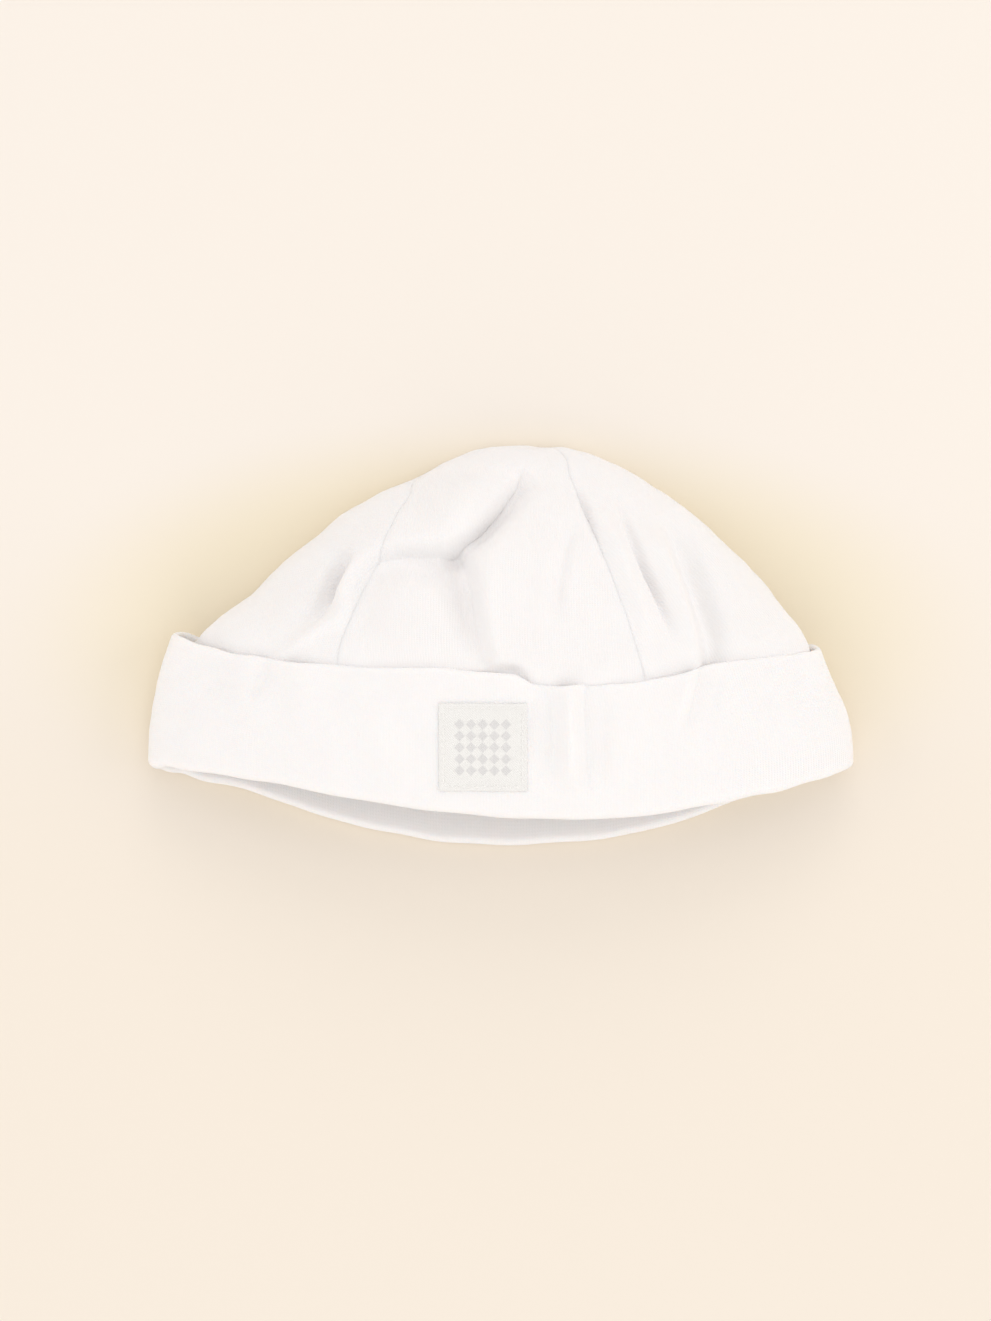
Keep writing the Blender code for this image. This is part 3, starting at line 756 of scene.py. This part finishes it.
def crown_panel(name, first, last, columns, flat, rests_on):
    """A panel of the crown from the hidden join to the apex, as a closed wall on the lying cloth."""
    share = panel_shares(first, last, columns)[None, :]
    climb = np.linspace(0, 1, PANEL_ROWS + 1)[:, None]
    along = along_at(join_y(panel_angles(first, last, FIRST_LOOK_ALONG + 0 * climb, share)))
    for _ in range(JOIN_LOOKS):
        bottom = along_at(join_y(panel_angles(first, last, along, share)))[:1]
        along = bottom + (1 - bottom) * climb
    angle = panel_angles(first, last, along, share)
    base = lying_cloth(angle, along)
    across = running_length(base)
    up = running_length(base[:, columns // 2])
    seams = ((first, across), (last, across[:, -1:] - across))
    shift = crown_shift(angle, along, seams)
    outer = base + shift
    inner = lying_cloth(angle, along, CROWN_WALL) + shift
    for face in (outer, inner):
        face[..., 2] = np.maximum(face[..., 2], FLOOR_CLEARANCE)
    uv = np.stack([across - across[:, columns // 2, None], up[:, None] + 0 * across], axis=-1)
    panel = wall_body(name.replace("crown", "jersey"), outer, inner, uv, crown_knit)
    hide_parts(name)
    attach(panel, "root")


PANELS = (
    ("crown_front_panel", "right_front", "left_front", 200, (0.080, 0.070), ["jersey_back_panel"]),
    ("crown_left_panel", "left_front", "left_back", 180, (0.080, 0.070), ["jersey_back_panel"]),
    ("crown_right_panel", "right_back", "right_front", 190, (0.085, 0.070), ["jersey_back_panel"]),
    ("crown_back_panel", "left_back", "right_back", 90, (0.090, 0.070), []),
)
for panel in PANELS:
    crown_panel(*panel)

# %% [markdown]
# The cuff
#
# The cuff is one band of jersey folded up at its lip. A profile of (y, stand-off) points goes round
# the folded wall: down the outer leg, round the lip, up the inner leg and back through the slot
# between them. The loop carries it round the cap. Its own soft folds are added to the outer leg.

# %% Table of the cuff's folds
CUFF_FOLDS = (
    ("upright ridge", 2.0, 0.0, 3.0, 0.0, (
        (0.186, -0.170, -0.3), (0.188, -0.320, -3.0), (0.193, -0.500, -3.3), (0.197, -0.720, 0.0))),
    ("upright valley", 3.6, 0.0, 1.3, 0.0, (
        (0.244, -0.160, 1.6), (0.246, -0.300, 2.7), (0.250, -0.500, 2.5), (0.254, -0.740, 0.0))),
    ("hollow beside the patch", 3.0, 0.0, 3.0, 0.0, (
        (0.105, -0.160, 1.1), (0.112, -0.300, 1.9), (0.118, -0.520, 1.6), (0.122, -0.720, 0.0))),
    ("right fold going on", 2.4, 0.0, 4.4, 0.0, (
        (0.500, -0.480, 0.0), (0.535, -0.330, 2.0), (0.557, -0.200, 2.6), (0.569, -0.080, 2.6))),
    ("ridge beside the right fold", 2.4, 0.0, 2.6, 0.0, (
        (0.470, -0.480, 0.0), (0.505, -0.300, -1.4), (0.532, -0.100, -1.2))),
    ("left dimple", 1.8, 0.0, 2.4, 0.0, (
        (-0.640, -0.020, 0.6), (-0.646, -0.100, 0.9), (-0.662, -0.170, 1.5), (-0.700, -0.270, 0.0))),
    ("far left hollow", 4.0, 0.0, 4.0, 0.0, (
        (-0.760, -0.060, 0.5), (-0.785, -0.160, 1.0), (-0.800, -0.300, 0.0))),
    ("right side hollow", 2.8, 0.0, 6.0, 0.0, (
        (0.720, -0.060, 0.6), (0.728, -0.260, 0.9), (0.745, -0.520, 0.0))),
    ("soft left streak", 4.0, 0.0, 4.0, 0.0, (
        (-0.560, -0.080, -0.6), (-0.555, -0.300, -0.5), (-0.550, -0.480, 0.0))),
)
CUFF_RIPPLES = ((0.30 * MM, 30 * MM, 31), (0.12 * MM, 11 * MM, 32), (0.04 * MM, 4 * MM, 33))
LEG_FOLD_START = 0.30
LEG_SOFTNESS = 0.12 * MM


def stand_off(angle, y):
    """How far the cuff's outer leg stands off the lying cloth.

    Its own depth, plus the flare times the share of the way up to a power, plus the lifts of the free
    edge, less its folds, plus ripples. All but the depth fade to nothing on the flat back. Near the
    least that clears the inner leg it levels out, as s * ln(1 + exp(room / s)).
    """
    lip = lip_y(angle)
    share = np.clip((y - lip) / (edge_y(angle) - lip), 0, 1)
    on_front = 1 - ease(-np.sin(angle), 0, FLARE_GONE)
    sideways = ease(np.abs(np.cos(angle)), *SIDE_FLARE)
    flare = CUFF_FLARE * cuff_line("flare", angle) * (FRONT_FLARE + (1 - FRONT_FLARE) * sideways)
    lifts = sum(
        lift * MM * np.exp(-(((np.cos(angle) - place) / reach) ** 2)) for place, reach, lift in EDGE_LIFTS
    )
    flare = (flare + lifts) * share**FLARE_POWER
    points = lying_cloth(angle, along_at(y))
    sink, _ = fold_shift(points, CUFF_FOLDS)
    uneven = sum(depth * ripple(points, length, seed) for depth, length, seed in CUFF_RIPPLES)
    soft = (uneven - sink * (np.sin(angle) > 0)) * ease(share, 0, LEG_FOLD_START)
    least = CUFF_WALL + JOIN_GAP
    over = (TURNED_DEPTH + (flare + soft) * on_front - least) / LEG_SOFTNESS
    return least + LEG_SOFTNESS * np.logaddexp(0, over)


def cloth_at(angle, y, depth_out):
    """Points that stand depth_out off the lying cloth, at an angle and a y."""
    along = along_at(y)
    return lying_cloth(angle, along) + outward(angle, along) * depth_out[..., None]


# %% The cuff's mesh
CUFF_BACK_WEIGHT = 0.5
LOOP_LOOKS = 2000
OUTER_ROWS = 56
LIP_ROWS = 14
INNER_ROWS = 26
HIDDEN_ROWS = 10
RIM_ROWS = 6
EDGE_ROUND = 0.5
HIDDEN_GAP = 0.06 * MM
CUFF_COLUMNS_COUNT = 690


def loop_angles(count):
    """Angles round the loop, evenly spaced by length and closer together on the front."""
    angle = np.linspace(0, 2 * np.pi, LOOP_LOOKS)
    points = lying_cloth(angle, along_at(lip_y(angle)))
    weight = np.where(np.sin(angle[1:]) > 0, 1.0, CUFF_BACK_WEIGHT)
    return 2 * np.pi * spread_by_length(running_length(points, weight), count)


def cuff_profile(angle):
    """(y, stand-off) of every profile row at every angle, in order round the folded wall."""
    lip = lip_y(angle) + wobble(angle, LIP_SEED)
    edge = edge_y(angle) + wobble(angle, EDGE_SEED)
    join = join_y(angle) - HIDDEN_GAP
    top = edge - CUFF_WALL * EDGE_ROUND
    shoulder = lip + LIP_RADIUS
    slot = lip + CUFF_WALL
    middle = (TURNED_DEPTH - CUFF_WALL) / 2

    def stretch(start, end, rows):
        return start + (end - start) * np.linspace(0, 1, rows + 1)[:, None]

    outer = stretch(top, shoulder, OUTER_ROWS)
    bend = np.linspace(0, np.pi, LIP_ROWS + 2)[1:-1, None]
    shoulder_depth = stand_off(angle, shoulder) - TURNED_DEPTH
    lip_ys = shoulder - LIP_RADIUS * np.sin(bend)
    lip_out = middle + LIP_RADIUS * np.cos(bend) + shoulder_depth * (1 + np.cos(bend)) / 2
    inner = stretch(shoulder, join, INNER_ROWS)
    behind = stretch(join, slot, HIDDEN_ROWS)
    under = stretch(slot, top, HIDDEN_ROWS)
    round_edge = np.linspace(0, np.pi, RIM_ROWS + 2)[1:-1, None]
    edge_middle = stand_off(angle, top) - CUFF_WALL / 2
    edge_ys = top + (edge - top) * np.sin(round_edge)
    edge_out = edge_middle - CUFF_WALL / 2 * np.cos(round_edge)
    ys = [outer, lip_ys, inner, behind, under, edge_ys]
    outs = [
        stand_off(angle, outer),
        lip_out,
        -CUFF_WALL + 0 * inner,
        0 * behind,
        stand_off(angle, under) - CUFF_WALL,
        edge_out,
    ]
    return np.concatenate(ys), np.concatenate(outs)


def make_cuff():
    """The cuff as a tube that joins up in both directions, with UVs that don't wrap back."""
    angle = loop_angles(CUFF_COLUMNS_COUNT)
    y, out = cuff_profile(angle[:-1])
    points = cloth_at(angle[:-1] + 0 * y, y, out)
    points[..., 2] = np.maximum(points[..., 2], FLOOR_CLEARANCE)
    rows, columns = y.shape
    index = np.arange(rows * columns).reshape(rows, columns)
    index = np.pad(index, ((0, 1), (0, 1)), mode="wrap")
    closed = np.concatenate([points, points[:1]])
    around = running_length(np.concatenate([points[OUTER_ROWS], points[OUTER_ROWS, :1]]))
    down = running_length(closed[:, columns // 4])
    grid = np.stack(np.meshgrid(around, down), axis=-1).reshape(-1, 2)
    places = grid_quads(np.arange((rows + 1) * (columns + 1)).reshape(rows + 1, columns + 1))
    cuff = cloth_body("jersey_cuff", points.reshape(-1, 3), grid_quads(index), grid[places], cuff_knit)
    print("cuff is", round(around[-1] / MM, 1), "mm round")
    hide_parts("cuff")
    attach(cuff, "root")


make_cuff()

# %% [markdown]
# The patch
#
# A small woven square is sewn on the front of the cuff. It follows the cuff's surface at a hair's
# distance. Its edges are turned under, so they are round and a little raised, and a lattice of small
# woven diamonds stands out in a greyer thread. The lattice is one formula, and it is real relief.

# %% Patch finish
THREAD = 0.30 * MM
WEAVE_RAISE = 0.05 * MM
WEAVE_MOTTLE_SCALE = 330
WEAVE_ROUGHNESS = 0.62
WEAVE_SHEEN = 0.15
WEAVE_COLOURS = ((0.920, 0.907, 0.885), (0.890, 0.877, 0.855), (0.770, 0.755, 0.750))


def woven(name, light, shade, raised):
    """Plain weave: warp and weft are two rows of round threads that take turns on top."""
    material, tree, shader = new_material(name)
    place_across, place_up = uv_places(tree)
    warp = maths(tree, "SINE", maths(tree, "MULTIPLY", place_across, math.pi / THREAD))
    weft = maths(tree, "SINE", maths(tree, "MULTIPLY", place_up, math.pi / THREAD))
    over = maths(tree, "MULTIPLY", warp, weft)
    height = maths(tree, "ABSOLUTE", maths(tree, "ADD", over, maths(tree, "ABSOLUTE", warp)))
    place = tree.nodes.new("ShaderNodeTexCoord").outputs["Object"]
    mottle = noise(tree, place, WEAVE_MOTTLE_SCALE)
    motif = tree.nodes.new("ShaderNodeAttribute")
    motif.attribute_name = "motif"
    ground = blend_colours(tree, mottle, shade, light)
    feed_all(tree, shader, {
        "Base Color": blend_colours(tree, motif.outputs["Fac"], ground, raised),
        "Normal": bump(tree, height, WEAVE_RAISE),
        "Roughness": WEAVE_ROUGHNESS,
        "Sheen Weight": WEAVE_SHEEN,
        "Sheen Roughness": SHEEN_ROUGHNESS,
    })
    return material


patch_weave = woven("patch_weave", *WEAVE_COLOURS)

# %% Patch mesh
PATCH_HALF = (PATCH_HIGH.x - PATCH_LOW.x) / 2
PATCH_GRID = 120
PATCH_GAP = 0.05 * MM
PATCH_BODY = 0.42 * MM
BORDER_WIDTH = 1.1 * MM
BORDER_RAISE = 0.09 * MM
EDGE_TURN = 0.45 * MM
LATTICE_PITCH = 2.7 * MM
LATTICE_HALF = 6.75 * MM
DIAMOND_SIZE = 0.52
DIAMOND_RAISE = 0.12 * MM
DIAMOND_SOFTNESS = 0.12
BORDER_FADE = (0.8, 1.1)
RIM_SHARE = 0.35


def lattice(x, y):
    """Small diamonds: 1 where |a| + |b| < size, with a and b from each diamond's own middle."""
    a = np.abs(np.mod(x / LATTICE_PITCH + 0.5, 1) - 0.5)
    b = np.abs(np.mod(y / LATTICE_PITCH + 0.5, 1) - 0.5)
    inside = (np.abs(x) < LATTICE_HALF) & (np.abs(y) < LATTICE_HALF)
    return ease(DIAMOND_SIZE - a - b, 0, DIAMOND_SOFTNESS) * inside


def patch_thickness(x, y):
    """The body plus the border plus the diamonds, falling off round at the rim like a quarter circle."""
    from_edge = PATCH_HALF - np.maximum(np.abs(x), np.abs(y))
    border = 1 - ease(from_edge / BORDER_WIDTH, *BORDER_FADE)
    turned = np.sqrt(1 - (1 - np.clip(from_edge / EDGE_TURN, 0, 1)) ** 2)
    full = PATCH_BODY + BORDER_RAISE * border + DIAMOND_RAISE * lattice(x, y)
    return full * (RIM_SHARE + (1 - RIM_SHARE) * turned)


def over_patch(x, y, height):
    """Points over the cuff's face, at a place x, y from the patch's middle and a height over its seat."""
    at_x = x + (PATCH_HIGH.x + PATCH_LOW.x) / 2
    at_y = y + (PATCH_HIGH.y + PATCH_LOW.y) / 2
    along = along_at(at_y)
    left = section("left", along) * CLOTH_HALF_WIDTH
    right = section("right", along) * CLOTH_HALF_WIDTH
    angle = np.arccos((at_x - (left + right) / 2) / ((right - left) / 2))
    return cloth_at(angle, at_y, stand_off(angle, at_y) + PATCH_GAP + height)


def make_patch():
    """A square wall on the cuff's face, between its seat and its thickness."""
    place = PATCH_HALF * np.linspace(-1, 1, PATCH_GRID + 1)
    x, y = np.meshgrid(place, place)
    outer = over_patch(x, y, patch_thickness(x, y))
    inner = over_patch(x, y, 0)
    uv = np.stack([x, y], axis=-1)
    patch = wall_body("woven_patch", outer, inner, uv, patch_weave, [("motif", lattice(x, y))])
    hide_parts("label_patch")
    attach(patch, "root")


make_patch()

# %% [markdown]
# The patch's stitches
#
# A patch is held by a row of machine stitches just inside its edge. Each stitch is a short round
# thread that rises out of the cloth, lies on it and dives in again. All of them are one mesh.

# %% Stitches round the patch
STITCH_INSET = 1.05 * MM
STITCH_PITCH = 1.55 * MM
STITCH_LENGTH = 1.15 * MM
THREAD_RADIUS = 0.13 * MM
STITCH_ARCH = 0.16 * MM
STITCH_RINGS = 6
STITCH_AROUND = 8
THREAD_FIBRE_SCALE = 3800
THREAD_ROUGHNESS = 0.55
THREAD_COLOURS = ((0.930, 0.915, 0.895), (0.890, 0.875, 0.855))


def thread_finish(name, light, shade):
    """Spun cotton thread: a fine mottle and a slight gloss."""
    material, tree, shader = new_material(name)
    place = tree.nodes.new("ShaderNodeTexCoord").outputs["Object"]
    fibres = noise(tree, place, THREAD_FIBRE_SCALE)
    feed_all(tree, shader, {
        "Base Color": blend_colours(tree, fibres, shade, light),
        "Normal": bump(tree, fibres, FUZZ_RAISE),
        "Roughness": THREAD_ROUGHNESS,
        "Sheen Weight": WEAVE_SHEEN,
    })
    return material


def make_stitches():
    """A row of threads along each side. With t from -1 to 1 along a thread, its radius is
    R * sqrt(1 - t to the 6th) and its height is the patch's thickness plus arch * (1 - 2 t squared).
    """
    line = PATCH_HALF - STITCH_INSET
    count = int(2 * line / STITCH_PITCH)
    middle = (np.arange(count) - (count - 1) / 2) * STITCH_PITCH
    along = np.concatenate([middle] * 4)[:, None, None]
    side = np.repeat(np.arange(4), count)[:, None, None] * np.pi / 2
    t = np.linspace(-1, 1, STITCH_RINGS + 1)[None, :, None]
    turn = np.linspace(0, 2 * np.pi, STITCH_AROUND, endpoint=False)[None, None, :]
    radius = THREAD_RADIUS * np.sqrt(1 - t**6)
    run = along + t * STITCH_LENGTH / 2
    across = line + radius * np.cos(turn)
    x = run * np.cos(side) - across * np.sin(side)
    y = run * np.sin(side) + across * np.cos(side)
    centre_x = run * np.cos(side) - line * np.sin(side)
    centre_y = run * np.sin(side) + line * np.cos(side)
    arch = STITCH_ARCH * (1 - 2 * t**2)
    height = patch_thickness(centre_x, centre_y) + arch + radius * np.sin(turn)
    points = over_patch(x, y, height).reshape(-1, 3)
    index = np.arange(len(points)).reshape(4 * count, STITCH_RINGS + 1, STITCH_AROUND)
    ahead = np.roll(index, -1, axis=2)
    quads = np.stack([index[:, :-1], ahead[:, :-1], ahead[:, 1:], index[:, 1:]], axis=-1).reshape(-1, 4)
    corner_uv = np.stack([x, y], axis=-1).reshape(-1, 2)[quads]
    stitches = cloth_body("patch_stitches", points, quads, corner_uv, patch_thread)
    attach(stitches, "root")
    print(4 * count, "stitches hold the patch")


patch_thread = thread_finish("patch_thread", *THREAD_COLOURS)
make_stitches()

# %% [markdown]
# Table, light and camera
#
# The cap lies on a plain cream table under very soft light, so the shadows are only a faint warm
# halo, and round the cap that halo is partly painted onto the table as a darker, warmer colour.
# The camera hangs straight above.

# %% Table
FLOOR_HALF = 2.0
# Round the cap the table is painted darker and warmer: a painted shadow halo, with its middle, reach and
# fade.
PAINTED_HALO_MIDDLE = (0, 2 * MM, 0)
PAINTED_HALO_REACH = (92 * MM, 42 * MM, 1)
PAINTED_HALO_FADE = (0.80, 1.35)
# Towards the front the table is painted a little darker and warmer than at the back: a painted fall-off of
# the light.
TONE_FADE = (0.06, -0.06)
TABLE_FRONT = (0.860, 0.780, 0.684)
TABLE_BACK = (0.878, 0.814, 0.746)
TABLE_PAINTED_SHADOW = (0.866, 0.773, 0.604)
TABLE_GRAIN_SCALE = 600
TABLE_GRAIN = 0.02 * MM
TABLE_ROUGHNESS = 0.8
TABLE_SHINE = 0.2


def between(tree, value, start, end):
    """1 where the value is at start, 0 where it is at end, and a smooth step between."""
    node = tree.nodes.new("ShaderNodeMapRange")
    node.interpolation_type = "SMOOTHSTEP"
    limits = {"Value": value, "From Min": start, "From Max": end, "To Min": 1, "To Max": 0}
    feed_all(tree, node, limits)
    return node.outputs["Result"]


def make_table():
    """A wide pale table, a little warmer towards the front and near the cap. It isn't part of the cap.

    A warm painted shadow round the cap fades with the distance from its middle, as a share of its reach each
    way.
    """
    material, tree, shader = new_material("table_cream")
    place = tree.nodes.new("ShaderNodeTexCoord").outputs["Object"]
    parts = tree.nodes.new("ShaderNodeSeparateXYZ")
    tree.links.new(place, parts.inputs[0])
    from_middle = vector_maths(tree, "SUBTRACT", place, PAINTED_HALO_MIDDLE)
    reach = vector_maths(tree, "LENGTH", vector_maths(tree, "DIVIDE", from_middle, PAINTED_HALO_REACH))
    # Painted light: the front of the table is darker and warmer than the back.
    back = between(tree, parts.outputs["Y"], *TONE_FADE)
    plain = blend_colours(tree, back, TABLE_FRONT, TABLE_BACK)
    # Painted shadow: near the cap the colour goes over to the darker, warmer halo colour.
    colour = blend_colours(tree, between(tree, reach, *PAINTED_HALO_FADE), plain, TABLE_PAINTED_SHADOW)
    feed_all(tree, shader, {
        "Base Color": colour,
        "Normal": bump(tree, noise(tree, place, TABLE_GRAIN_SCALE), TABLE_GRAIN),
        "Roughness": TABLE_ROUGHNESS,
        "Specular IOR Level": TABLE_SHINE,
    })
    mesh = bpy.data.meshes.new("table")
    corners = [(x * FLOOR_HALF, y * FLOOR_HALF, 0) for x, y in ((-1, -1), (1, -1), (1, 1), (-1, 1))]
    mesh.from_pydata(corners, [], [(0, 1, 2, 3)])
    mesh.materials.append(material)
    table = bpy.data.objects.new("table", mesh)
    bpy.context.scene.collection.objects.link(table)


make_table()

# %% Light
ROOM_COLOUR = (1.0, 0.985, 0.965)
ROOM_STRENGTH = 0.74


def area_light(name, place, size, power, colour):
    """A square area light that looks at the origin."""
    data = bpy.data.lights.new(name, "AREA")
    data.size = size
    data.energy = power
    data.color = colour
    light = bpy.data.objects.new(name, data)
    light.location = place
    direction = -light.location
    light.rotation_euler = direction.to_track_quat("-Z", "Y").to_euler()
    bpy.context.scene.collection.objects.link(light)


LIGHTS = (
    ("soft_overhead", (0.10, 0.28, 1.32), 1.0, 2.0, (1.0, 0.99, 0.98)),
    ("soft_top_side", (0.10, 1.25, 0.80), 0.8, 2.5, (1.0, 0.985, 0.97)),
    ("soft_right_side", (1.20, 0.10, 0.70), 0.8, 3.6, (1.0, 0.985, 0.98)),
    ("soft_left_side", (-1.20, 0.10, 0.70), 0.8, 2.8, (1.0, 0.985, 0.98)),
    ("low_front_fill", (-0.1, -1.2, 0.45), 1.2, 4.3, (1.0, 0.980, 0.955)),
)
for row in LIGHTS:
    area_light(*row)
world = bpy.data.worlds.new("pale_room")
world.use_nodes = True
room_inputs = {"Color": (*ROOM_COLOUR, 1), "Strength": ROOM_STRENGTH}
feed_all(world.node_tree, world.node_tree.nodes["Background"], room_inputs)
bpy.context.scene.world = world
bpy.context.scene.view_settings.view_transform = "Standard"

# %% Camera
CAMERA_HEIGHT = 1.20
PIXEL = 0.24 * MM
PICTURE_HEIGHT = 1321
VIEW_MIDDLE = (-1.3 * MM, -3.6 * MM)
SENSOR = 36.0
data = bpy.data.cameras.new("camera")
data.sensor_width = SENSOR
data.lens = SENSOR * CAMERA_HEIGHT / (PICTURE_HEIGHT * PIXEL)
camera = bpy.data.objects.new("camera", data)
camera.location = (*VIEW_MIDDLE, CAMERA_HEIGHT + SIDE_FOLD_HEIGHT)
bpy.context.scene.collection.objects.link(camera)
bpy.context.scene.camera = camera
print("camera lens", round(data.lens, 1), "mm")
